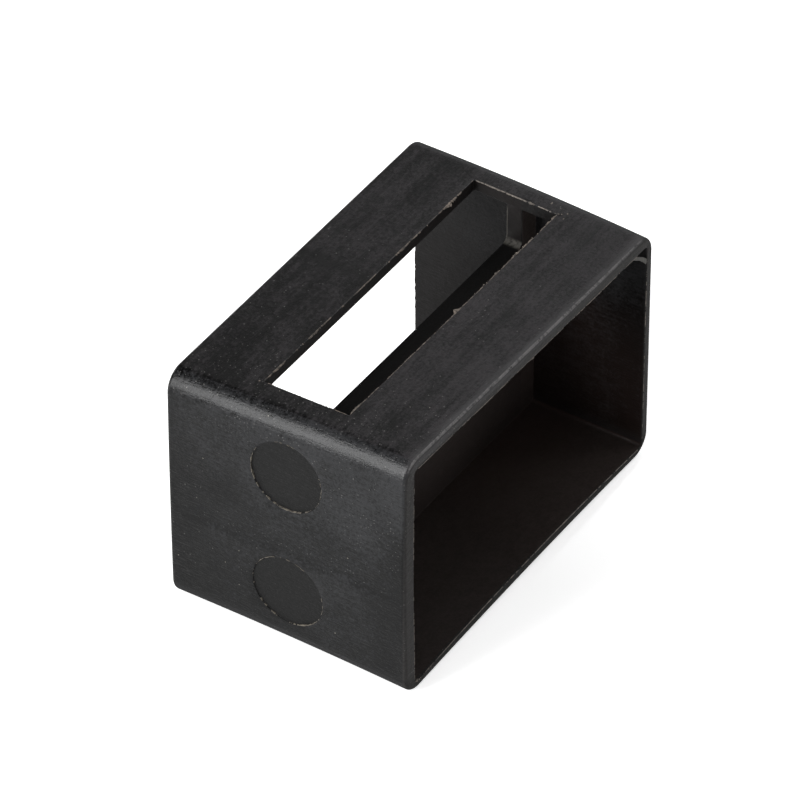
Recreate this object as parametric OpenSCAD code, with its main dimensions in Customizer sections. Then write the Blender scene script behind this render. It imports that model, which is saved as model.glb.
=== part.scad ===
// Rectangular moulded end cap for a channel: a sleeve with a cross wall inside and a long slot in the top.
// The origin is on the underside, midway along the length and the depth. The front socket faces -Y.

/* [Body] */
// Length over the outer faces of the end walls
cap_length = 33; // [20:0.5:60]
// Depth from the front rim to the back rim
cap_depth = 20.2; // [16:0.2:40]
// Height from the underside to the top face
cap_height = 21.1; // [17:0.1:40]
// Outer radius of the long edges that run from front to back
edge_r = 1.7; // [0.5:0.1:2]
// Radius on the outer edge of the front and back rims
rim_r = 0.3; // [0.1:0.05:0.45]

/* [Walls] */
// Thickness of the top wall
top_wall = 1; // [0.6:0.05:2]
// Thickness of the bottom wall
bottom_wall = 0.6; // [0.5:0.05:2]
// Thickness of the near end wall, the one with the moulding marks
near_wall = 1.2; // [0.6:0.05:2]
// Thickness of the far end wall
far_wall = 0.8; // [0.6:0.05:2]
// Radius in the inner corners of the sockets
socket_corner_r = 0.3; // [0.1:0.05:1]

/* [Cross wall] */
// Depth of the front socket, from the front rim to the cross wall
socket_depth = 9.6; // [5:0.2:11]
// Thickness of the cross wall
web_t = 1.4; // [0.8:0.1:2.4]

/* [Top slot] */
// Top face left between the near end wall's outside and the slot
slot_near_margin = 3; // [2.2:0.1:6]
// Top face left between the far end wall's outside and the slot
slot_far_margin = 2.6; // [2.2:0.1:6]
// How far the slot reaches forward of the cross wall's front face
slot_front_reach = 2.95; // [1:0.05:4]
// How far the slot reaches back from the cross wall's back face
slot_back_reach = 2.85; // [1:0.05:4]
// Depth of the slot from the top face, down into the cross wall
slot_depth = 4.4; // [2:0.1:8]
// Radius where the ends of the notch in the cross wall meet its floor
notch_r = 0.6; // [0.2:0.1:1]

/* [Moulding marks] */
// Diameter of the round moulding marks on the near end wall
mark_d = 6; // [3:0.1:6.2]
// Depth of the round moulding marks
mark_depth = 0.1; // [0.05:0.01:0.2]
// Upper mark: from the top face down to its centre
mark_top_inset = 5; // [4.9:0.1:5.6]
// Lower mark: from the underside up to its centre
mark_bottom_inset = 5.4; // [4.9:0.1:5.6]
// How far the marks stand behind the front rim
mark_setback = 10; // [6:0.1:11]

/* [Hidden] */
// Overshoot of cutting shapes past a face
over = 1;
// Segments of a full circle
round_fn = 64;
front_y = -cap_depth / 2;
near_x = -cap_length / 2;
web_front_y = front_y + socket_depth;
web_back_y = web_front_y + web_t;
socket_w = cap_length - near_wall - far_wall;
socket_h = cap_height - bottom_wall - top_wall;
rear_depth = cap_depth - socket_depth - web_t;
slot_length = cap_length - slot_near_margin - slot_far_margin;
slot_width = slot_front_reach + web_t + slot_back_reach;
slot_x = near_x + slot_near_margin;
slot_y = web_front_y - slot_front_reach;

// Rectangle with round corners, its lower left corner at the origin
module round_rect(w, h, r) {
    translate([r, 0]) square([w - 2 * r, h]);
    translate([0, r]) square([w, h - 2 * r]);
    for (x = [r, w - r], y = [r, h - r]) translate([x, y]) circle(r = r, $fn = round_fn);
}

// Rectangle whose two lower corners are round, its lower left corner at the origin
module trough_rect(w, h, r) {
    translate([0, r]) square([w, h - r]);
    translate([r, 0]) square([w - 2 * r, h]);
    for (x = [r, w - r]) translate([x, r]) circle(r = r, $fn = round_fn);
}

// Turns a profile drawn in X and Z into a bar that runs back along Y
module bar_along_y(length) {
    translate([0, length, 0]) rotate([90, 0, 0]) linear_extrude(length) children();
}

// Half of a corner column's section: straight inside, rim radius outside
module column_section() {
    translate([0, rim_r]) square([edge_r, cap_depth - 2 * rim_r]);
    square([edge_r - rim_r, cap_depth]);
    for (y = [rim_r, cap_depth - rim_r]) {
        intersection() {
            translate([edge_r - rim_r, y]) circle(r = rim_r, $fn = round_fn);
            square([edge_r, cap_depth]);
        }
    }
}

// Round column that forms one long outer edge
module corner_column() {
    rotate([-90, 0, 0]) rotate_extrude($fn = round_fn) column_section();
}

// Solid outer form: a block with round long edges and softened rims
module outer_form() {
    straight_x = cap_length - 2 * edge_r;
    straight_z = cap_height - 2 * edge_r;
    translate([near_x + edge_r, front_y, 0])
        rotate([90, 0, 90]) linear_extrude(straight_x) round_rect(cap_depth, cap_height, rim_r);
    translate([near_x, front_y, edge_r])
        linear_extrude(straight_z) round_rect(cap_length, cap_depth, rim_r);
    for (x = [near_x + edge_r, -near_x - edge_r], z = [edge_r, cap_height - edge_r]) {
        translate([x, front_y, z]) corner_column();
    }
}

// Rectangular hollow of a given depth, starting at a given Y
module socket(start_y, depth) {
    translate([near_x + near_wall, start_y, bottom_wall])
        bar_along_y(depth) round_rect(socket_w, socket_h, socket_corner_r);
}

// Slot through the top wall that also notches the cross wall
module top_slot() {
    translate([slot_x, slot_y, cap_height - slot_depth])
        bar_along_y(slot_width) trough_rect(slot_length, slot_depth + over, notch_r);
}

// Shallow round marks that the mould leaves on the near end wall
module moulding_marks() {
    for (z = [mark_bottom_inset, cap_height - mark_top_inset]) {
        translate([near_x + mark_depth, front_y + mark_setback, z])
            rotate([0, -90, 0]) cylinder(h = over, d = mark_d, $fn = round_fn);
    }
}

module end_cap() {
    color([0.07, 0.07, 0.075]) difference() {
        outer_form();
        socket(front_y - over, socket_depth + over);
        socket(web_back_y, rear_depth + over);
        top_slot();
        moulding_marks();
    }
}

end_cap();
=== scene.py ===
"""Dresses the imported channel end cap: moulded body, mould flash, witness rings, floor and lamps."""
import math
import random
from types import SimpleNamespace

import bmesh
import bpy
from mathutils import Matrix, Vector


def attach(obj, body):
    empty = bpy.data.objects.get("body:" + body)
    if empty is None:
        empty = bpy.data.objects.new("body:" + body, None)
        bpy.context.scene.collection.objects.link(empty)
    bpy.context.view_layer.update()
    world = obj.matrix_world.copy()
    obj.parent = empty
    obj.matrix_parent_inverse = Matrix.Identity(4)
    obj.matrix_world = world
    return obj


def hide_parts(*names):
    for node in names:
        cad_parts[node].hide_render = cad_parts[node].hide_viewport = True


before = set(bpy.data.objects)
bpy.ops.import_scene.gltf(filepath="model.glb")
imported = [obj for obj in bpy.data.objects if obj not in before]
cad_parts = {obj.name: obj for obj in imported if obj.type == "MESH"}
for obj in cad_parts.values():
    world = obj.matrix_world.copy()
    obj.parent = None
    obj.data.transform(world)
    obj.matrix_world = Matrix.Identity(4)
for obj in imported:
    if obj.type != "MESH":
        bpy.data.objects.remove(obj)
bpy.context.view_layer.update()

MM = 0.001
# The cap's sizes in millimetres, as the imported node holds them
HALF_X, HALF_Y, HEIGHT = 16.5, 10.1, 21.1
WALL_TOP, WALL_LOW, WALL_NEAR, WALL_FAR = 1.0, 0.6, 1.2, 0.8
SLOT_X0, SLOT_X1 = -13.5, 13.9
SLOT_Y0, SLOT_Y1 = -3.45, 3.75
NOTCH_Z, WEB_BACK = 16.7, 0.9
MARK_R, MARK_Y, MARK_Z = 3.0, -0.1, (16.1, 5.4)
INNER_X0, INNER_X1 = WALL_NEAR - HALF_X, HALF_X - WALL_FAR
INNER_Z0, INNER_Z1 = WALL_LOW, HEIGHT - WALL_TOP


# ---------------------------------------------------------------- node helpers
def new_material(name):
    material = bpy.data.materials.new(name)
    material.use_nodes = True
    material.node_tree.nodes.clear()
    return material, material.node_tree


def rgba(r, g, b):
    return (r, g, b, 1.0)


class Graph:
    """Short calls for building a material's nodes."""

    def __init__(self, tree):
        self.tree = tree

    def node(self, kind, **settings):
        made = self.tree.nodes.new(kind)
        for key, value in settings.items():
            setattr(made, key, value)
        return made

    def link(self, source, target):
        self.tree.links.new(source, target)

    def put(self, socket, value):
        if isinstance(value, bpy.types.NodeSocket):
            self.link(value, socket)
        else:
            socket.default_value = value

    def math(self, operation, a, b=0.0, clamp=False):
        made = self.node("ShaderNodeMath", operation=operation, use_clamp=clamp)
        self.put(made.inputs[0], a)
        self.put(made.inputs[1], b)
        return made.outputs[0]

    def plus(self, *values, clamp=False):
        """The sum of two or more values, held between 0 and 1 if clamp is set."""
        total = values[0]
        for value in values[1:-1]:
            total = self.math("ADD", total, value)
        return self.math("ADD", total, values[-1], clamp=clamp)

    def less(self, value, *taken):
        """The value with one or more others taken from it."""
        for other in taken:
            value = self.math("SUBTRACT", value, other)
        return value

    def times(self, *values):
        """The product of two or more values."""
        total = values[0]
        for value in values[1:]:
            total = self.math("MULTIPLY", total, value)
        return total

    def size(self, value):
        return self.math("ABSOLUTE", value)

    def step(self, value, low, high):
        """0 below low, 1 above high, smooth between, or the other way round if low is higher."""
        made = self.node("ShaderNodeMapRange", interpolation_type="SMOOTHSTEP")
        self.put(made.inputs["Value"], value)
        made.inputs["From Min"].default_value = low
        made.inputs["From Max"].default_value = high
        return made.outputs["Result"]

    def scaled(self, vector, scale, offset=(0.0, 0.0, 0.0)):
        made = self.node("ShaderNodeMapping")
        self.link(vector, made.inputs["Vector"])
        made.inputs["Scale"].default_value = scale
        made.inputs["Location"].default_value = offset
        return made.outputs["Vector"]

    def noise(self, vector, scale=1.0, detail=2.0, rough=0.5):
        made = self.node("ShaderNodeTexNoise")
        self.link(vector, made.inputs["Vector"])
        made.inputs["Scale"].default_value = scale
        made.inputs["Detail"].default_value = detail
        made.inputs["Roughness"].default_value = rough
        return made.outputs["Fac"]

    def swing(self, value, gain):
        """A noise as plus and minus around nothing, with its contrast raised."""
        return self.times(self.less(value, 0.5), gain)

    def mix(self, factor, a, b):
        made = self.node("ShaderNodeMix", data_type="FLOAT")
        self.put(made.inputs[0], factor)
        self.put(made.inputs[2], a)
        self.put(made.inputs[3], b)
        return made.outputs[0]

    def mix_colour(self, factor, a, b):
        made = self.node("ShaderNodeMix", data_type="RGBA")
        self.put(made.inputs[0], factor)
        self.put(made.inputs[6], a)
        self.put(made.inputs[7], b)
        return made.outputs[2]

    def layers(self, colour, *layers):
        """Lays each (mask, strength, tint) over a colour in turn."""
        for mask, strength, tint in layers:
            colour = self.mix_colour(self.times(mask, strength), colour, tint)
        return colour

    def split(self, vector):
        """A vector's three parts."""
        made = self.node("ShaderNodeSeparateXYZ")
        self.link(vector, made.inputs[0])
        return made.outputs

    def cells(self, vector, scale):
        """Distance to the nearest random point, and two random values of its cell."""
        made = self.node("ShaderNodeTexVoronoi", feature="F1")
        self.link(vector, made.inputs["Vector"])
        made.inputs["Scale"].default_value = scale
        parts = self.node("ShaderNodeSeparateColor")
        self.link(made.outputs["Color"], parts.inputs[0])
        return made.outputs["Distance"], parts.outputs[0], parts.outputs[1]

    def object_mm(self):
        """Where a point lies on the cap, in millimetres."""
        coords = self.node("ShaderNodeTexCoord").outputs["Object"]
        return self.scaled(coords, (1 / MM, 1 / MM, 1 / MM))

    def plastic(self, colour, rough, height, depth):
        """A plastic shader with a bump of so many millimetres, wired to the output."""
        bump = self.node("ShaderNodeBump")
        bump.inputs["Strength"].default_value = 0.8
        bump.inputs["Distance"].default_value = depth * MM
        self.link(height, bump.inputs["Height"])
        shader = self.node("ShaderNodeBsdfPrincipled")
        self.link(colour, shader.inputs["Base Color"])
        self.link(rough, shader.inputs["Roughness"])
        self.link(bump.outputs["Normal"], shader.inputs["Normal"])
        output = self.node("ShaderNodeOutputMaterial")
        self.link(shader.outputs[0], output.inputs["Surface"])
        return shader


# ---------------------------------------------------------------- moulded plastic
TINT = SimpleNamespace(
    grain_dark=rgba(0.0004, 0.0004, 0.0005),
    grain_top=rgba(0.0278, 0.0254, 0.0272),
    grain_end=rgba(0.0254, 0.0258, 0.0274),
    inside_dark=rgba(0.0130, 0.0085, 0.0075),
    inside_pale=rgba(0.0290, 0.0220, 0.0195),
    rear=rgba(0.0015, 0.0013, 0.0013),
    # painted shade on the far wall's top inside the front socket
    far_top_painted_shade=rgba(0.0010, 0.0006, 0.0005),
    far_foot=rgba(0.0235, 0.0140, 0.0116),
    # painted light: a paler brown lifted over the low far part of the front socket, by the web
    deep=rgba(0.046, 0.031, 0.027),
    # painted shade: the notch's floor darkened nearly to black
    notch_floor=rgba(0.0008, 0.0008, 0.0007),
    # painted light on the web's face
    web_face=rgba(0.044, 0.034, 0.031),
    # painted highlight at the notch's far end
    painted_notch_highlight=rgba(0.075, 0.071, 0.062),
    mark_dark=rgba(0.0003, 0.0003, 0.0003),
    mark_pale=rgba(0.0105, 0.0105, 0.0103),
    crease=rgba(0.0015, 0.0015, 0.0015),
    dull_edge=rgba(0.032, 0.032, 0.033),
    rim_dark=rgba(0.013, 0.012, 0.012),
    rim_pale=rgba(0.042, 0.040, 0.039),
    # painted sheen along the top's front edge
    shoulder=rgba(0.052, 0.050, 0.052),
    # painted highlight on the top's thin edges
    arris=rgba(0.175, 0.168, 0.168),
    pit=rgba(0.0004, 0.0004, 0.0004),
    dot=rgba(0.125, 0.122, 0.118),
    speck=rgba(0.34, 0.32, 0.28),
)
PLASTIC_IOR = 1.47
PLASTIC_SPECULAR = 0.19
# Depth of the bumps, in millimetres
PLASTIC_RELIEF, FLASH_RELIEF = 0.045, 0.02


def surface_point(g):
    """Where a point lies, in millimetres, which way its face looks, and if that is an end wall."""
    mm = g.object_mm()
    x, y, z = g.split(mm)
    nx, ny, nz = g.split(g.node("ShaderNodeNewGeometry").outputs["True Normal"])
    end_face = g.step(g.size(nx), 0.15, 0.40)
    return SimpleNamespace(mm=mm, x=x, y=y, z=z, nx=nx, ny=ny, nz=nz,
                           end_face=end_face, not_end=g.less(1.0, end_face))


def surface_noises(g, p):
    """Rubbed grain, dashes along Y on the end walls and along X on the top, and plain noises."""
    mm = p.mm
    dashes_x, dashes_y = (0.35, 2.6, 2.6), (3.2, 0.75, 4.6)
    hairs_x, hairs_y = (1.6, 9.0, 9.0), (9.0, 2.4, 11.0)
    streak_top = g.noise(g.scaled(mm, dashes_x), detail=4.0, rough=0.7)
    streak_end = g.noise(g.scaled(mm, dashes_y, (7.0, 2.0, 5.0)), detail=4.0, rough=0.62)
    hair_top = g.noise(g.scaled(mm, hairs_x), rough=0.6)
    hair_end = g.noise(g.scaled(mm, hairs_y), rough=0.6)
    bands_x = g.scaled(mm, (0.05, 1.3, 1.3), (2.0, 5.0, 1.0))
    blotches = g.scaled(mm, (1.0, 1.0, 1.0), (3.0, 1.0, 4.0))
    return SimpleNamespace(
        streak=g.mix(p.end_face, streak_top, streak_end),
        hair=g.mix(p.end_face, hair_top, hair_end),
        patch=g.noise(blotches, scale=0.24, detail=3.0, rough=0.55),
        mottle=g.noise(mm, scale=1.5, detail=4.0, rough=0.62),
        grit=g.noise(mm, scale=4.2, detail=3.0, rough=0.75),
        band=g.noise(bands_x, detail=3.0, rough=0.6))


def mark_mask(g, p):
    """1 on the round moulding marks of the near end wall."""
    mark = 0.0
    for z in MARK_Z:
        across = g.less(p.y, MARK_Y)
        up = g.less(p.z, z)
        away = g.math("SQRT", g.plus(g.times(across, across), g.times(up, up)))
        mark = g.plus(mark, g.step(away, MARK_R + 0.02, MARK_R - 0.05))
    return g.times(mark, g.step(p.x, -HALF_X + 0.5, -HALF_X + 0.4))


def area_masks(g, p):
    """Masks for the slot's walls, the sleeve's inside and outside, the marks and the rims."""
    inside = g.times(
        g.step(p.x, INNER_X0 - 0.03, INNER_X0 + 0.03),
        g.step(p.x, INNER_X1 + 0.03, INNER_X1 - 0.03),
        g.step(g.size(p.y), HALF_Y - 0.02, HALF_Y - 0.12),
        g.step(p.z, INNER_Z1 + 0.08, INNER_Z1 - 0.02),
        g.step(p.z, INNER_Z0 - 0.08, INNER_Z0 + 0.02))
    in_slot = g.times(
        g.step(p.x, SLOT_X0 - 0.04, SLOT_X0 - 0.01),
        g.step(p.x, SLOT_X1 + 0.04, SLOT_X1 + 0.01),
        g.step(p.y, SLOT_Y0 - 0.04, SLOT_Y0 - 0.01),
        g.step(p.y, SLOT_Y1 + 0.04, SLOT_Y1 + 0.01),
        g.math("LESS_THAN", g.size(p.nz), 0.3))
    inside = g.math("MAXIMUM", inside, in_slot)
    outside = g.less(1.0, inside)
    mark = mark_mask(g, p)
    return SimpleNamespace(
        in_slot=in_slot, inside=inside, outside=outside, mark=mark,
        ground=g.times(outside, g.less(1.0, mark)),
        rim=g.step(g.size(p.y), HALF_Y - 0.20, HALF_Y - 0.04))


def edge_masks(g, p, n, area):
    """Masks for the rubbed long edges, a painted highlight on the top's thin edges, a painted sheen
    along its front edge, and a crease in the top.
    """
    from_middle = g.size(g.less(p.z, HEIGHT / 2))
    long_edge = g.times(g.step(g.size(g.times(p.nx, p.nz)), 0.04, 0.30),
                        g.step(from_middle, HEIGHT / 2 - 2.2, HEIGHT / 2 - 1.8))
    far_edge = g.times(long_edge, g.step(p.x, 15.2, 15.8))
    # Noise that breaks the painted highlight on the top's thin edges into beads
    arris_highlight_beads = g.step(g.plus(g.times(n.mottle, 0.8), g.times(n.grit, 0.8)), 0.56, 0.92)
    arris = g.times(g.step(g.size(g.times(p.ny, p.nz)), 0.30, 0.45),
                    g.step(p.z, HEIGHT - 0.5, HEIGHT - 0.3), arris_highlight_beads)
    # Painted sheen: a lighter, streaky band along the top's front edge
    shoulder = g.times(g.step(p.y, 0.9 - HALF_Y, 0.25 - HALF_Y),
                       g.step(p.z, HEIGHT - 0.6, HEIGHT - 0.4),
                       g.plus(0.62, g.swing(n.streak, 2.0), clamp=True))
    # The crease runs across the top's back strip, at the middle of the length
    crease_line = g.plus(p.x, g.swing(g.noise(p.mm, scale=0.9, detail=3.0), 1.8))
    crease = g.times(g.step(g.size(g.less(crease_line, 0.2)), 0.9, 0.1),
                     g.step(p.z, HEIGHT - 0.3, HEIGHT - 0.1),
                     g.step(p.y, SLOT_Y1 - 0.3, SLOT_Y1 + 0.3))
    return SimpleNamespace(
        near_fillet=g.times(long_edge, g.step(p.x, 1.0, -1.0)),
        dull=g.times(g.math("MAXIMUM", g.step(p.z, 2.0, 0.9), far_edge), area.outside),
        arris=arris, shoulder=shoulder, crease=crease)


def fleck_masks(g, p, n, area, edge):
    """Masks for dust specks and tiny pale nicks, thickest by the near top edge, and for pits."""
    edge_gap = g.plus(g.times(g.plus(p.x, HALF_X), 0.5), g.less(HEIGHT, p.z))
    near_edge = g.step(edge_gap, 5.0, 0.5)
    where = g.plus(g.times(near_edge, 0.42), g.swing(n.patch, 0.8),
                   g.times(g.plus(p.x, 6.0), -0.012))

    def flecks(vector, scale, reach, chance, least):
        """Spots up to reach across, in cells whose chance and random value come to over least."""
        spot, size, pick = g.cells(vector, scale)
        shape = g.math("LESS_THAN", spot, g.times(size, reach))
        return g.times(shape, g.math("GREATER_THAN", g.plus(chance, pick), least), area.ground)

    shifted = g.scaled(p.mm, (1.0, 1.0, 1.0), (9.0, 4.0, 2.0))
    return SimpleNamespace(
        speck=flecks(p.mm, scale=1.7, reach=0.075, chance=where, least=1.0),
        dot=flecks(p.mm, scale=4.4, reach=0.26, chance=where, least=0.80),
        pit=flecks(shifted, scale=3.1, reach=0.19, chance=g.times(edge.near_fillet, 0.35),
                   least=0.93))


def inside_masks(g, p, area):
    """Masks for the back socket, the far wall, the depth, the notch's floor and the web's face."""
    rear = g.math("MAXIMUM", g.step(p.y, -0.45, -0.3), area.in_slot)
    far_front = g.times(g.step(g.times(p.nx, -1.0), 0.5, 0.8), g.step(p.y, -0.3, -0.45))
    deep = g.times(g.step(p.y, -7.5, -2.0), g.step(p.x, 0.0, 12.0), g.less(1.0, rear),
                   g.step(p.z, 15.5, 11.0))
    notch_floor = g.times(g.step(p.z, NOTCH_Z - 0.4, NOTCH_Z - 0.2), g.step(p.nz, 0.5, 0.8),
                          g.step(p.x, 13.7, 13.3))
    web_face = g.times(g.step(g.times(p.ny, -1.0), 0.5, 0.8), g.step(p.x, -14.0, 4.0),
                       g.step(p.z, 17.5, 12.0))
    return SimpleNamespace(rear=rear, far_front=far_front, deep=deep,
                           notch_floor=notch_floor, web_face=web_face)


def painted_notch_highlight_mask(g, p, n):
    """Mask for painted highlights at the notch's far end: a pale foot and a thin pale edge above it.
    """
    above_floor = g.step(p.z, NOTCH_Z - 0.2, NOTCH_Z - 0.05)
    short_of_end = g.step(p.x, SLOT_X1 + 0.1, SLOT_X1 + 0.04)
    foot = g.times(g.step(p.x, 13.3, 13.6), g.step(p.z, NOTCH_Z + 0.5, NOTCH_Z + 0.25),
                   above_floor, g.step(n.grit, 0.25, 0.6))
    post = g.times(g.step(p.x, SLOT_X1 - 0.1, SLOT_X1 - 0.04),
                   g.step(g.size(g.less(p.y, WEB_BACK)), 0.13, 0.06),
                   short_of_end, above_floor)
    return g.times(g.math("MAXIMUM", foot, post),
                   g.step(p.y, -0.7, -0.5), g.step(p.y, 1.1, 0.95), g.step(p.z, 20.0, 19.5),
                   short_of_end, g.step(g.size(p.ny), 0.9, 0.7))


def ground_colour(g, p, n):
    """Colour of the plain outside: grain and blotches, with painted light and shade sloping over each
    face.
    """
    # Painted light and shade on the end wall: lighter towards the top, darker towards its back, by
    # its back and front edges and in the band between the marks
    end_painted_light_and_shade = g.less(
        g.less(g.times(g.less(p.z, 12.2), 0.040), g.times(g.math("MAXIMUM", p.y, -2.5), 0.034)),
        g.times(g.step(p.y, 6.0, 9.8), 0.22),
        g.times(g.step(p.y, -6.8, -9.2), g.step(p.z, 17.5, 13.5), 0.35),
        g.times(g.step(g.size(g.less(p.z, 10.8)), 3.2, 1.0), 0.18))
    tone = g.plus(
        g.plus(g.swing(n.streak, 1.6), g.swing(n.mottle, 1.0)),
        g.plus(g.swing(n.patch, 1.1), g.swing(n.grit, 2.8)),
        g.times(g.swing(n.band, 1.2), p.not_end),
        g.times(p.end_face, end_painted_light_and_shade),
        # Painted shade on the other faces, the top among them: darker towards the back and towards
        # the near end
        g.times(p.not_end, g.times(p.y, -0.020)),
        g.times(g.step(p.x, -4.0, -15.0), g.times(p.not_end, -0.16)))
    light = g.mix_colour(p.end_face, TINT.grain_top, TINT.grain_end)
    return g.mix_colour(g.plus(tone, 0.42, clamp=True), TINT.grain_dark, light)


def inside_colour(g, p, n, within):
    """Colour of the sleeve's inside, a matt brown that changes from wall to wall, with painted shade
    on the far wall's top and the notch's floor, and painted light on the deep far part and the web's
    face.
    """
    amount = g.plus(g.swing(n.grit, 1.2), g.swing(n.mottle, 0.8), 0.5, clamp=True)
    brown = g.mix_colour(amount, TINT.inside_dark, TINT.inside_pale)
    # Painted shade: the far wall inside the front socket darkens towards the top
    far_wall_painted_shade = g.mix_colour(g.step(p.z, 17.0, 5.0), TINT.far_top_painted_shade, TINT.far_foot)
    return g.layers(
        brown,
        (within.rear, 0.78, TINT.rear),
        (within.far_front, 0.9, far_wall_painted_shade),
        # Painted light over the low far part of the front socket, by the web
        (within.deep, 0.6, TINT.deep),
        # Painted shade on the notch's floor
        (within.notch_floor, 0.9, TINT.notch_floor),
        # Painted light: a paler patch on the upper near part of the web's face
        (within.web_face, 0.7, TINT.web_face))


def plastic_material():
    """Black moulded plastic: grain, blotches, dust, pits and dull marks outside, brown inside, with
    painted light, shade and highlights.
    """
    material, tree = new_material("black_moulded_plastic")
    g = Graph(tree)
    p = surface_point(g)
    n = surface_noises(g, p)
    area = area_masks(g, p)
    edge = edge_masks(g, p, n, area)
    fleck = fleck_masks(g, p, n, area, edge)
    within = inside_masks(g, p, area)

    stain = g.plus(g.swing(n.mottle, 1.4), g.swing(n.grit, 3.0), 0.35, clamp=True)
    rubbed = g.plus(g.swing(n.grit, 1.4), 0.45, clamp=True)
    colour = g.layers(
        ground_colour(g, p, n),
        (area.inside, 0.95, inside_colour(g, p, n, within)),
        # painted highlights at the notch's far end
        (painted_notch_highlight_mask(g, p, n), 0.8, TINT.painted_notch_highlight),
        (area.mark, 1.0, g.mix_colour(stain, TINT.mark_dark, TINT.mark_pale)),
        (edge.crease, 0.6, TINT.crease),
        (edge.dull, 0.5, TINT.dull_edge),
        (area.rim, area.outside, g.mix_colour(rubbed, TINT.rim_dark, TINT.rim_pale)),
        # painted sheen along the top's front edge
        (edge.shoulder, 1.0, TINT.shoulder),
        # painted highlight on the top's thin edges
        (edge.arris, 0.85, TINT.arris),
        (fleck.pit, 0.85, TINT.pit),
        (fleck.dot, 0.55, TINT.dot),
        (fleck.speck, 0.8, TINT.speck))

    rough = g.plus(g.plus(0.52, g.swing(n.streak, 0.5)),
                   g.plus(g.swing(n.mottle, 0.4), g.swing(n.grit, 0.5)))
    mark_rough = g.plus(0.60, g.plus(g.swing(n.mottle, 0.3), g.swing(n.grit, 1.2)))
    for mask, value in (
            (edge.near_fillet, g.plus(0.255, g.swing(n.grit, 0.28))),
            (area.mark, mark_rough),
            (area.inside, 0.62),
            (g.times(within.far_front, area.inside), 0.42),
            (g.times(within.notch_floor, area.inside), 1.0),
            (area.rim, 0.72),
            (edge.dull, 0.9)):
        rough = g.mix(mask, rough, value)

    grain = g.plus(g.swing(n.streak, 1.1), g.swing(n.hair, 0.6), g.swing(n.grit, 0.5))
    grain = g.times(grain, g.mix(area.mark, g.mix(area.inside, 1.0, 0.35), 1.3))
    height = g.times(g.plus(grain, g.swing(n.mottle, 1.0)), g.mix(edge.near_fillet, 1.0, 0.6))
    height = g.less(height, g.times(fleck.pit, 0.6))

    shader = g.plastic(colour, rough, height, PLASTIC_RELIEF)
    shader.inputs["IOR"].default_value = PLASTIC_IOR
    shader.inputs["Specular IOR Level"].default_value = PLASTIC_SPECULAR
    return material


def flash_material(name, thin, thick):
    """Thin torn plastic: paler and browner where it is thin."""
    material, tree = new_material(name)
    g = Graph(tree)
    mm = g.object_mm()
    patchy = g.noise(mm, scale=2.6, detail=3.0, rough=0.65)
    fine = g.noise(mm, scale=14.0, detail=3.0, rough=0.7)
    amount = g.step(g.plus(g.times(patchy, 0.7), g.times(fine, 0.3)), 0.38, 0.62)
    colour = g.mix_colour(amount, rgba(*thick), rgba(*thin))
    g.plastic(colour, g.plus(0.55, g.times(fine, 0.2)), fine, FLASH_RELIEF)
    return material


# ---------------------------------------------------------------- moulded body
# Fitted draws of the walls, in millimetres, each named for the place where it is strongest
BOTTOM_FRONT_BOW, NEAR_FOOT_BOW, FAR_HEAD_BOW = 0.22, 0.18, 0.22
NEAR_FRONT_LIFT, FAR_FRONT_DROP = 0.33, 0.38
NEAR_BACK_FOOT_DROP, NEAR_BACK_HEAD_DROP, NEAR_FRONT_FOOT_DROP = 0.13, 0.10, 0.08
FLOOR_BULGE, FLOOR_BULGE_REACH = 0.42, 3
HEAD_BACK_DRAW, FOOT_FRONT_DRAW, HEAD_FAR_DRAW = 0.07, 0.17, 0.29
NEAR_FRONT_BULGE, NEAR_BACK_BULGE = 0.05, 0.08

RECESS_DEPTH = 0.10
# How far behind an end wall's outside a point still counts as on it
SKIN = 0.02
EASE_WIDTH = 0.07
SHARP_ANGLE = math.radians(42)
FLAT_ANGLE = math.radians(0.4)
MERGE_GAP = 1e-6
ON_PLANE = 1e-7
# Pitch of the cuts that let the body bend, along X, Y and Z
BEND_PITCH = (1.5, 1.7, 1.5)
# Heights of the finer cuts where the shallow recess is pressed in
RECESS_CUTS = [8.1 + 0.15 * k for k in range(9)] + [9.7 + 0.4 * k for k in range(6)]


def warp(p):
    """How the thin walls have drawn and bulged at a rest point, both in millimetres."""
    u, v, w = p.x / HALF_X, p.y / HALF_Y, p.z / (HEIGHT / 2) - 1
    low, high = ((1 - w) / 2) ** 2, ((1 + w) / 2) ** 2
    front, back, near, far = (1 - v) / 2, (1 + v) / 2, (1 - u) / 2, (1 + u) / 2
    long_bow, deep_bow, tall_bow = (max(0.0, 1 - t * t) for t in (u, v, w))
    on_floor = min(1.0, max(0.0, p.z / WALL_LOW))
    floor_top = on_floor * math.exp(-max(0.0, p.z - WALL_LOW) / FLOOR_BULGE_REACH)
    dz = (long_bow * low * front * BOTTOM_FRONT_BOW + deep_bow * low * near ** 3 * NEAR_FOOT_BOW
          + deep_bow * high * far ** 3 * FAR_HEAD_BOW)
    dz += (front * high * (NEAR_FRONT_LIFT * near - FAR_FRONT_DROP * far)
           - NEAR_BACK_FOOT_DROP * low * near * back - NEAR_BACK_HEAD_DROP * high * near * back)
    dz += (FLOOR_BULGE * floor_top * front ** 2 * long_bow
           - NEAR_FRONT_FOOT_DROP * near * low * front)
    dy = near * front * (HEAD_BACK_DRAW * high - FOOT_FRONT_DRAW * low)
    bulge = tall_bow * near ** 3 * (NEAR_FRONT_BULGE * front + NEAR_BACK_BULGE * back)
    dx = near * high * front * HEAD_FAR_DRAW - bulge
    return Vector((dx, dy, dz))


def smooth(value, low, high):
    """0 below low, 1 above high, smooth between, or the other way round if low is higher."""
    t = max(0.0, min(1.0, (value - low) / (high - low)))
    return t * t * (3 - 2 * t)


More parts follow.
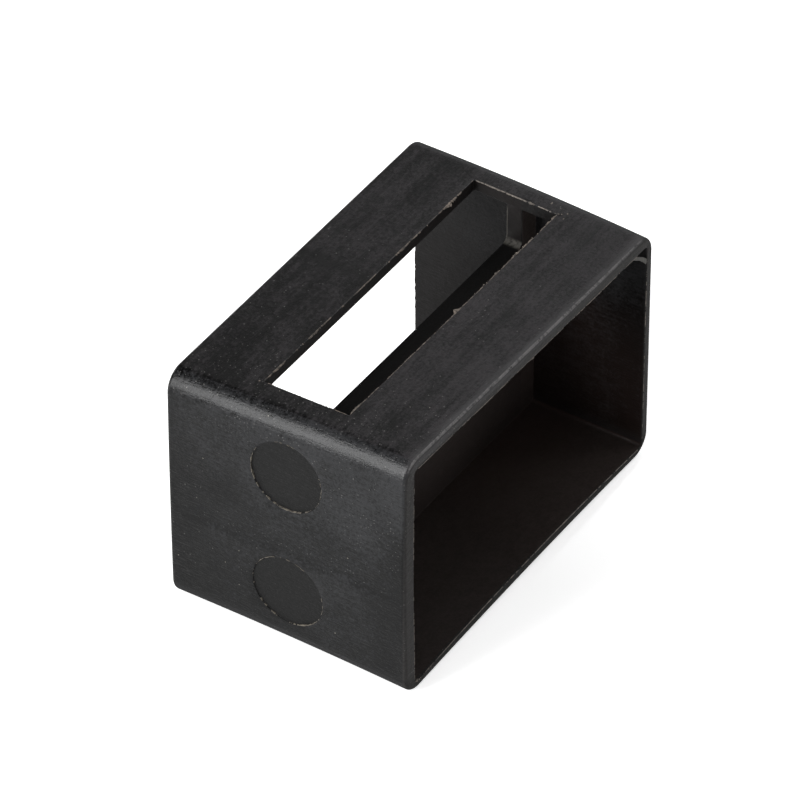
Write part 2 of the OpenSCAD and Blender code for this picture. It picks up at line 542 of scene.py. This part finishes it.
def face_recess(p):
    """Depth of the shallow recess in the near end wall between the round marks."""
    if p.x > -HALF_X + SKIN:
        return 0.0
    ripple = 0.05 * math.sin(1.3 * p.y) + 0.04 * math.sin(2.9 * p.y + 1.0)
    ridge = 8.9 - 0.034 * p.y + ripple
    ends = smooth(p.y, -9.2, -7.0) * smooth(p.y, 9.4, 7.4)
    return RECESS_DEPTH * ends * smooth(p.z, ridge - 0.45, ridge + 0.1) * smooth(p.z, 11.9, 9.2)


def cut(bm, geom, place, normal):
    """Cuts the mesh's given parts along a plane, and keeps both sides."""
    bmesh.ops.bisect_plane(bm, geom=geom, dist=ON_PLANE, plane_co=place, plane_no=normal)


def moulded_body(material):
    """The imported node's copy: edges eased, walls slightly drawn, and fine enough to bend."""
    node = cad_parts["end_cap"]
    mesh = node.data.copy()
    mesh.name = "cap_moulding"
    piece = bpy.data.objects.new("cap_moulding", mesh)
    bpy.context.scene.collection.objects.link(piece)
    bm = bmesh.new()
    bm.from_mesh(mesh)
    bmesh.ops.remove_doubles(bm, verts=bm.verts, dist=MERGE_GAP)
    bmesh.ops.dissolve_limit(bm, angle_limit=FLAT_ANGLE, verts=bm.verts, edges=bm.edges)
    bm.to_mesh(mesh)
    bm.free()

    ease = piece.modifiers.new("ease", "BEVEL")
    ease.width = EASE_WIDTH * MM
    ease.segments = 2
    ease.limit_method = "ANGLE"
    ease.angle_limit = SHARP_ANGLE
    ease.miter_outer = "MITER_ARC"
    apply_modifiers(piece)

    bm = bmesh.new()
    bm.from_mesh(piece.data)
    bmesh.ops.triangulate(bm, faces=bm.faces)
    spans = ((-HALF_X, HALF_X), (-HALF_Y, HALF_Y), (0.0, HEIGHT))
    for axis, (low, high) in enumerate(spans):
        count = round((high - low) / BEND_PITCH[axis])
        normal = Vector([1.0 if i == axis else 0.0 for i in range(3)])
        for k in range(1, count):
            place = (low + (high - low) * k / count) * MM
            cut(bm, bm.verts[:] + bm.edges[:] + bm.faces[:], normal * place, normal)
    for z in RECESS_CUTS:
        faces = [f for f in bm.faces if f.calc_center_median().x < (-HALF_X + SKIN) * MM]
        edges = {e for f in faces for e in f.edges}
        verts = {v for f in faces for v in f.verts}
        cut(bm, list(verts) + list(edges) + faces, (0, 0, z * MM), (0, 0, 1))
    for vert in bm.verts:
        rest = vert.co / MM
        vert.co = (rest + warp(rest) + Vector((face_recess(rest), 0, 0))) * MM
    bmesh.ops.recalc_face_normals(bm, faces=bm.faces)
    bm.to_mesh(piece.data)
    bm.free()
    shade(piece)
    piece.data.materials.clear()
    piece.data.materials.append(material)
    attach(piece, "root")
    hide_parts("end_cap")


def apply_modifiers(piece):
    """Turns the piece's modifiers into its own mesh."""
    graph = bpy.context.evaluated_depsgraph_get()
    made = bpy.data.meshes.new_from_object(piece.evaluated_get(graph))
    piece.modifiers.clear()
    old = piece.data
    piece.data = made
    bpy.data.meshes.remove(old)


def shade(piece):
    """Smooth shading with hard edges beyond the sharp angle, and flats kept flat."""
    piece.data.shade_smooth()
    piece.data.set_sharp_from_angle(angle=SHARP_ANGLE)
    weigh = piece.modifiers.new("flats", "WEIGHTED_NORMAL")
    weigh.weight = 80
    weigh.keep_sharp = True


# ---------------------------------------------------------------- mould flash
# Slow, middle and fast waves of a ragged edge: least and most speed per millimetre, and size
WAVES = ((0.4, 1.2, 0.42), (1.8, 3.4, 0.30), (5, 9, 0.28))
PHASES = 6.3
JITTER = 0.22
# Sizes of a torn strip, in millimetres: along it, its root in the plastic, its thinnest parts,
# and how far it is sunk where it is torn away
STRIP_PITCH, STRIP_FADE, STRIP_STRAY = 0.09, 0.3, 0.03
STRIP_ROOT, STRIP_FOOT = 0.03, 0.05
THIN_WIDTH, THIN_LIFT, RAGGED = 0.012, 0.004, 0.02
SUNK_BACK, SUNK_UNDER = 0.11, 0.06
# A witness ring's steps, its length in the random waves, and how much of them it loses
RING_STEPS, RING_RUN, RING_CUT = 220, 30, 0.18


def mesh_piece(name, verts, faces, material):
    """A piece from corners in millimetres and faces, on the cap's body."""
    mesh = bpy.data.meshes.new(name)
    moved = [(Vector(v) + warp(Vector(v))) * MM for v in verts]
    mesh.from_pydata(moved, [], faces)
    mesh.validate()
    piece = bpy.data.objects.new(name, mesh)
    bpy.context.scene.collection.objects.link(piece)
    bm = bmesh.new()
    bm.from_mesh(mesh)
    bmesh.ops.recalc_face_normals(bm, faces=bm.faces)
    bm.to_mesh(mesh)
    bm.free()
    mesh.materials.append(material)
    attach(piece, "root")


def tube_faces(count, closed=False):
    """Faces of a four-sided tube with so many rings, capped unless it closes on itself."""
    faces = []
    for k in range(count if closed else count - 1):
        a, b = 4 * k, 4 * ((k + 1) % count)
        for i in range(4):
            j = (i + 1) % 4
            faces.append((a + i, b + i, b + j, a + j))
    if not closed:
        last = 4 * (count - 1)
        faces += [(0, 1, 2, 3), (last + 3, last + 2, last + 1, last)]
    return faces


def wobble(rng, count, reach):
    """A smooth run of random values from 0 to 1: sums of slow and fast waves."""
    waves = [(rng.uniform(slow, fast), rng.uniform(0, PHASES), size) for slow, fast, size in WAVES]
    out = []
    for k in range(count):
        t = k / max(1, count - 1) * reach
        value = sum(size * (0.5 + 0.5 * math.sin(speed * t + phase))
                    for speed, phase, size in waves)
        out.append(max(0.0, min(1.0, value + rng.uniform(-JITTER, JITTER))))
    return out


def flash_strip(name, path, inward, up, seed, width, lift, material, envelope=None, cut_off=0.35):
    """A torn sliver on a straight edge, of ragged width and lift, gone where under cut_off."""
    rng = random.Random(seed)
    start, end = Vector(path[0]), Vector(path[1])
    inward, up = Vector(inward), Vector(up)
    length = (end - start).length
    count = max(3, int(length / STRIP_PITCH))
    ragged = wobble(rng, count, length)
    raised = wobble(rng, count, length)
    along = (end - start).normalized()
    verts = []
    for k in range(count):
        t = k / (count - 1)
        gain = envelope(t) if envelope else 1.0
        fade = min(1.0, t * length / STRIP_FADE, (1 - t) * length / STRIP_FADE)
        left = max(0.0, ragged[k] - cut_off) / (1 - cut_off) * fade
        shown = min(1.0, 4 * left)
        w = THIN_WIDTH + width * left * gain
        h = THIN_LIFT + lift * raised[k] * shown * gain
        stray = along * rng.uniform(-STRIP_STRAY, STRIP_STRAY)
        sunk = (inward * SUNK_BACK + up * SUNK_UNDER) * (1 - shown)
        place = start + (end - start) * t + stray - sunk
        root = STRIP_ROOT + RAGGED * raised[k] * gain * shown
        tip = THIN_WIDTH + RAGGED * (1 - ragged[k])
        verts += [place - inward * STRIP_ROOT - up * STRIP_FOOT,
                  place - inward * root + up * (0.3 * h),
                  place + inward * (0.35 * w) + up * h,
                  place + inward * w - up * tip]
    mesh_piece(name, verts, tube_faces(count), material)


def nub(name, centre, size, seed, material, stretch):
    """A small torn lump of flash."""
    rng = random.Random(seed)
    bm = bmesh.new()
    bmesh.ops.create_icosphere(bm, subdivisions=2, radius=1.0)
    verts = []
    for vert in bm.verts:
        grow = rng.uniform(0.55, 1.15)
        verts.append(tuple(centre[i] + vert.co[i] * grow * size * stretch[i] for i in range(3)))
    faces = [tuple(v.index for v in f.verts) for f in bm.faces]
    bm.free()
    mesh_piece(name, verts, faces, material)


def bump_at(*spots):
    """An envelope that is high near each (place, spread, gain) and low elsewhere."""
    def value(t):
        peaks = (gain * math.exp(-((t - place) / spread) ** 2) for place, spread, gain in spots)
        return 0.35 + sum(peaks)
    return value


def slot_flash(pale, brown):
    """Torn flash round the edges of the top slot."""
    top, up = HEIGHT, (0, 0, 1)
    x0, x1, y0, y1 = SLOT_X0, SLOT_X1, SLOT_Y0, SLOT_Y1
    flash_strip("flash_slot_far", ((x1, y0 - 0.1, top), (x1, y1, top)), (-1, 0, 0), up,
                seed=11, width=0.20, lift=0.08, material=pale, cut_off=0.10,
                envelope=bump_at((0.08, 0.08, 0.5), (0.33, 0.06, 1.2), (0.55, 0.10, 0.3),
                                 (0.80, 0.08, 0.2)))
    flash_strip("flash_slot_back", ((x0, y1, top), (x1, y1, top)), (0, -1, 0), up,
                seed=23, width=0.15, lift=0.06, material=brown,
                envelope=bump_at((0.06, 0.03, 0.7), (0.17, 0.04, 0.8), (0.25, 0.03, 0.7),
                                 (0.38, 0.03, 0.8), (0.62, 0.05, 0.7), (0.74, 0.03, 0.6),
                                 (0.89, 0.03, 2.6)))
    flash_strip("flash_slot_front", ((x0, y0, top), (x1, y0, top)), (0, 1, 0), up,
                seed=37, width=0.15, lift=0.065, material=brown, cut_off=0.12,
                envelope=bump_at((0.04, 0.03, 0.5), (0.51, 0.012, 2.0), (0.642, 0.012, 1.2),
                                 (0.70, 0.010, 1.2), (0.80, 0.012, 1.3), (0.86, 0.05, 0.5),
                                 (0.97, 0.03, 0.7)))
    flash_strip("flash_slot_near", ((x0, y0, top), (x0, y1, top)), (1, 0, 0), up,
                seed=41, width=0.05, lift=0.02, material=brown, envelope=bump_at((0.95, 0.06, 1.2)))

    # Torn corner where the slot's front and far edges meet
    corner = ((13.74, -4.10, 0.07), (14.41, -4.06, 0.08), (14.76, -2.47, 0.09),
              (14.10, -3.72, 0.04), (14.62, -3.30, 0.035))
    for k, (x, y, size) in enumerate(corner):
        nub(f"nub_corner_{k}", (x, y, top), size, 140 + k, brown if k % 2 else pale,
            (1.3, 1.0, 0.45))
    # Name, place, size, seed, colour and stretch of each torn lump
    for name, centre, size, seed, material, stretch in (
            ("nub_slot_corner", (x1 + 0.08, y0 - 0.06, top), 0.06, 5, brown, (1.2, 1.4, 0.5)),
            ("nub_slot_far", (x1 - 0.02, -1.13, top), 0.15, 16, pale, (0.8, 1.2, 0.6)),
            ("nub_slot_back", (11.33, y1 - 0.02, top - 0.02), 0.13, 6, brown, (1.5, 0.8, 0.6)),
            ("nub_slot_back_near", (-11.84, y1 - 0.06, top - 0.03), 0.07, 7, brown,
             (2.0, 0.8, 0.6)),
            ("nub_slot_near_corner", (x0 - 0.12, y1 + 0.3, top - 0.01), 0.07, 8, brown,
             (1.2, 1.0, 0.6)),
            ("nub_slot_front_mid", (0.44, y0 + 0.04, top), 0.10, 9, pale, (1.4, 1.0, 0.6)),
            ("nub_slot_front_far", (4.1, y0 + 0.05, top), 0.08, 10, pale, (1.2, 1.0, 0.7))):
        nub(name, centre, size, seed, material, stretch)
    front = ((2.9, 0.045), (5.69, 0.055), (8.47, 0.07), (9.35, 0.06), (10.6, 0.045))
    for k, (x, size) in enumerate(front):
        nub(f"nub_slot_front_{k}", (x, y0 + 0.06, top), size, 170 + k, brown if k % 2 else pale,
            (1.2, 1.0, 0.7))
    nub("nub_slot_back_dot", (7.57, y1 - 0.04, top - 0.01), 0.06, 18, pale, (1.1, 0.8, 0.7))


def front_rim_flash(pale, brown):
    """Torn flash on the inner edge of the front rim."""
    rim, out = -HALF_Y, (0, -1, 0)
    x0, x1, z0, z1 = INNER_X0, INNER_X1, INNER_Z0, INNER_Z1
    flash_strip("flash_rim_top", ((x0 + 0.1, rim, z1), (x1 - 1.1, rim, z1)), (0, 0, -1), out,
                seed=53, width=0.085, lift=0.035, material=brown, cut_off=0.08,
                envelope=bump_at((0.03, 0.02, 0.5), (0.33, 0.06, 0.5), (0.505, 0.008, 2.0),
                                 (0.8, 0.1, 0.5)))
    flash_strip("flash_rim_near", ((x0, rim, z0 + 0.2), (x0, rim, z1 - 0.2)), (1, 0, 0), out,
                seed=59, width=0.05, lift=0.02, material=brown,
                envelope=bump_at((0.15, 0.05, 0.5), (0.5, 0.2, 0.3), (0.9, 0.08, 0.4)))
    flash_strip("flash_rim_far", ((x1, rim, z0 + 0.3), (x1, rim, z1 - 1.1)), (-1, 0, 0), out,
                seed=61, width=0.05, lift=0.03, material=brown, envelope=bump_at((0.8, 0.15, 0.7)))
    flash_strip("flash_rim_low", ((x0 + 0.2, rim, z0), (x1 - 0.2, rim, z0)), (0, 0, 1), out,
                seed=67, width=0.030, lift=0.014, material=brown, cut_off=0.0)
    nub("nub_rim_top", (0.17, rim + 0.02, z1 - 0.08), 0.11, 12, brown, (1.3, 0.5, 1.0))
    nub("nub_rim_low", (x0 + 0.25, rim + 0.02, z0 + 0.1), 0.13, 13, brown, (1.3, 0.5, 1.0))
    nub("nub_rim_low_pale", (x0 + 0.55, rim + 0.01, z0 - 0.02), 0.055, 14, pale, (1.2, 0.6, 1.2))
    nub("nub_rim_near", (x0 + 0.03, rim + 0.01, 6.0), 0.065, 15, pale, (0.9, 0.6, 1.5))


def back_rim_flash(brown):
    """Torn flash on the inner edge of the back rim, as on the front."""
    rim, out = HALF_Y, (0, 1, 0)
    x0, x1, z0, z1 = INNER_X0, INNER_X1, INNER_Z0, INNER_Z1
    flash_strip("flash_back_top", ((x0 + 0.2, rim, z1), (x1 - 0.2, rim, z1)), (0, 0, -1), out,
                seed=71, width=0.045, lift=0.02, material=brown)
    flash_strip("flash_back_far", ((x1, rim, z0 + 0.3), (x1, rim, z1 - 0.3)), (-1, 0, 0), out,
                seed=73, width=0.04, lift=0.02, material=brown)
    flash_strip("flash_back_near", ((x0, rim, z0 + 0.3), (x0, rim, z1 - 0.3)), (1, 0, 0), out,
                seed=79, width=0.04, lift=0.02, material=brown)
    flash_strip("flash_back_low", ((x0 + 0.2, rim, z0), (x1 - 0.2, rim, z0)), (0, 0, 1), out,
                seed=83, width=0.035, lift=0.02, material=brown)


def corner_web(material):
    """A sliver of flash over the front rim's upper far inner corner, with a small gap behind it."""
    rng = random.Random(91)
    rim = -HALF_Y + 0.03
    start = Vector((INNER_X1 - 1.95, 0, INNER_Z1 + 0.05))
    knee = Vector((INNER_X1 - 0.72, 0, INNER_Z1 - 0.60))
    end = Vector((INNER_X1 + 0.05, 0, INNER_Z1 - 1.55))
    count = 15
    verts = []
    for k in range(count):
        t = k / (count - 1)
        place = start * (1 - t) ** 2 + knee * 2 * t * (1 - t) + end * t ** 2
        tangent = (knee - start) * (1 - t) + (end - knee) * t
        side = Vector((tangent.z, 0, -tangent.x)).normalized()
        thick = 0.09 + 0.11 * t + rng.uniform(-0.02, 0.02)
        deep = 0.10 + rng.uniform(-0.02, 0.03)
        for a, b in ((-1, 0), (1, 0), (1, 1), (-1, 1)):
            verts.append((place.x + side.x * thick * a, rim + b * deep,
                          place.z + side.z * thick * a))
    mesh_piece("flash_corner_web", verts, tube_faces(count), material)


def witness_ring(name, z, seed, least, extra, turns, phase, material):
    """The thin line of flash round a moulding mark, broken where its gain falls to least."""
    rng = random.Random(seed)
    count = RING_STEPS
    verts = []
    width = wobble(rng, count, RING_RUN)
    for k in range(count):
        angle = 2 * math.pi * k / count
        gain = least + extra * math.sin(angle * turns + phase) ** 2
        left = max(0.0, width[k] * gain - RING_CUT)
        shown = min(1.0, 5 * left)
        w = 0.02 + 0.06 * left
        skin = -HALF_X - 0.03 * left + 0.12 * (1 - shown)
        middle = MARK_R + 0.09 - 0.11 * shown + rng.uniform(-0.015, 0.015)
        for r, x in ((middle - w * 0.5, -HALF_X + 0.13), (middle - w * 0.3, skin),
                     (middle + w * 0.5, skin - 0.005), (middle + w * 0.6, skin + 0.05)):
            verts.append((x, MARK_Y + r * math.cos(angle), z + r * math.sin(angle)))
    mesh_piece(name, verts, tube_faces(count, closed=True), material)


# ---------------------------------------------------------------- studio
# The floor lies just under the lowest bend of the cap's walls; sizes here are in metres
FLOOR_Z = -0.00012
FLOOR_REACH = 6.0
FLOOR_GLOW = 0.62
WORLD_LEVEL = 0.25
# Name, direction from the cap, distance, width and height, and power in watts
LAMPS = (
    ("key_back_left", (-0.83, 0.42, 0.52), 0.9, (0.34, 0.80), 10.5),
    ("far_right", (0.85, 0.15, 0.70), 0.35, (0.22, 0.22), 0.33),
    ("front_right", (0.63, -0.50, 0.55), 0.5, (0.20, 0.20), 0.45),
    ("overhead", (-0.1, -0.3, 1.0), 1.2, (0.9, 0.9), 1.0),
)
# The camera that was fitted to the object's edges in the photo, its place in millimetres
LENS, SENSOR_WIDTH = 310.704, 36.0
CAMERA_AT = (-318.941, -209.299, 336.280)
CAMERA_ROWS = ((0.549700, 0.541988, -0.635672),
               (-0.835361, 0.355428, -0.419337),
               (-0.001340, 0.761525, 0.648134))


def white_floor():
    """A wide matt floor that the camera, mirrors and glass see as nearly white."""
    mesh = bpy.data.meshes.new("floor")
    r = FLOOR_REACH
    mesh.from_pydata([(-r, -r, 0), (r, -r, 0), (r, r, 0), (-r, r, 0)], [], [(0, 1, 2, 3)])
    floor = bpy.data.objects.new("floor", mesh)
    floor.location.z = FLOOR_Z
    bpy.context.scene.collection.objects.link(floor)
    material, tree = new_material("floor_white")
    g = Graph(tree)
    path = g.node("ShaderNodeLightPath")
    mirrored = g.math("MAXIMUM", path.outputs["Is Glossy Ray"],
                      path.outputs["Is Transmission Ray"])
    seen = g.math("MAXIMUM", path.outputs["Is Camera Ray"], mirrored)
    matte = g.node("ShaderNodeBsdfDiffuse")
    matte.inputs["Color"].default_value = rgba(0.82, 0.82, 0.82)
    glow = g.node("ShaderNodeEmission")
    glow.inputs["Color"].default_value = rgba(1.0, 1.0, 1.0)
    g.link(g.times(seen, FLOOR_GLOW), glow.inputs["Strength"])
    both = g.node("ShaderNodeAddShader")
    g.link(matte.outputs[0], both.inputs[0])
    g.link(glow.outputs[0], both.inputs[1])
    output = g.node("ShaderNodeOutputMaterial")
    g.link(both.outputs[0], output.inputs["Surface"])
    mesh.materials.append(material)


def world_and_lamps():
    """An even white world and the soft lamps, all aimed at the cap's middle."""
    world = bpy.data.worlds.new("studio")
    bpy.context.scene.world = world
    world.use_nodes = True
    world.node_tree.nodes.clear()
    g = Graph(world.node_tree)
    sky = g.node("ShaderNodeBackground")
    sky.inputs["Color"].default_value = rgba(1.0, 1.0, 1.0)
    sky.inputs["Strength"].default_value = WORLD_LEVEL
    output = g.node("ShaderNodeOutputWorld")
    g.link(sky.outputs[0], output.inputs["Surface"])

    aim = Vector((0, 0, HEIGHT / 2 * MM))
    for name, towards, distance, size, power in LAMPS:
        lamp = bpy.data.lights.new(name, "AREA")
        lamp.shape = "RECTANGLE"
        lamp.size, lamp.size_y = size
        lamp.energy = power
        holder = bpy.data.objects.new(name, lamp)
        direction = Vector(towards).normalized()
        holder.location = aim + direction * distance
        holder.rotation_euler = direction.to_track_quat("Z", "Y").to_euler()
        bpy.context.scene.collection.objects.link(holder)


def photo_camera():
    """The camera at the photo's place."""
    data = bpy.data.cameras.new("camera")
    data.sensor_width = SENSOR_WIDTH
    data.lens = LENS
    data.clip_start = 0.02
    data.clip_end = 50.0
    camera = bpy.data.objects.new("camera", data)
    turn = Matrix(CAMERA_ROWS).to_4x4()
    camera.matrix_world = Matrix.Translation(Vector(CAMERA_AT) * MM) @ turn
    bpy.context.scene.collection.objects.link(camera)
    bpy.context.scene.camera = camera


# ---------------------------------------------------------------- the scene
bpy.context.scene.view_settings.view_transform = "Standard"
plastic = plastic_material()
pale_flash = flash_material("flash_pale", (0.24, 0.21, 0.18), (0.050, 0.043, 0.037))
brown_flash = flash_material("flash_brown", (0.17, 0.14, 0.115), (0.030, 0.025, 0.021))
web_flash = flash_material("flash_web", (0.034, 0.031, 0.023), (0.010, 0.009, 0.007))
ring_flash = flash_material("flash_ring", (0.17, 0.15, 0.12), (0.040, 0.034, 0.028))
moulded_body(plastic)
slot_flash(pale_flash, brown_flash)
front_rim_flash(pale_flash, brown_flash)
corner_web(web_flash)
back_rim_flash(brown_flash)
witness_ring("witness_upper", MARK_Z[0], seed=101, least=0.45, extra=0.55, turns=0.5, phase=2.1,
             material=ring_flash)
witness_ring("witness_lower", MARK_Z[1], seed=103, least=0.52, extra=0.34, turns=1.0, phase=0.6,
             material=ring_flash)
white_floor()
world_and_lamps()
photo_camera()
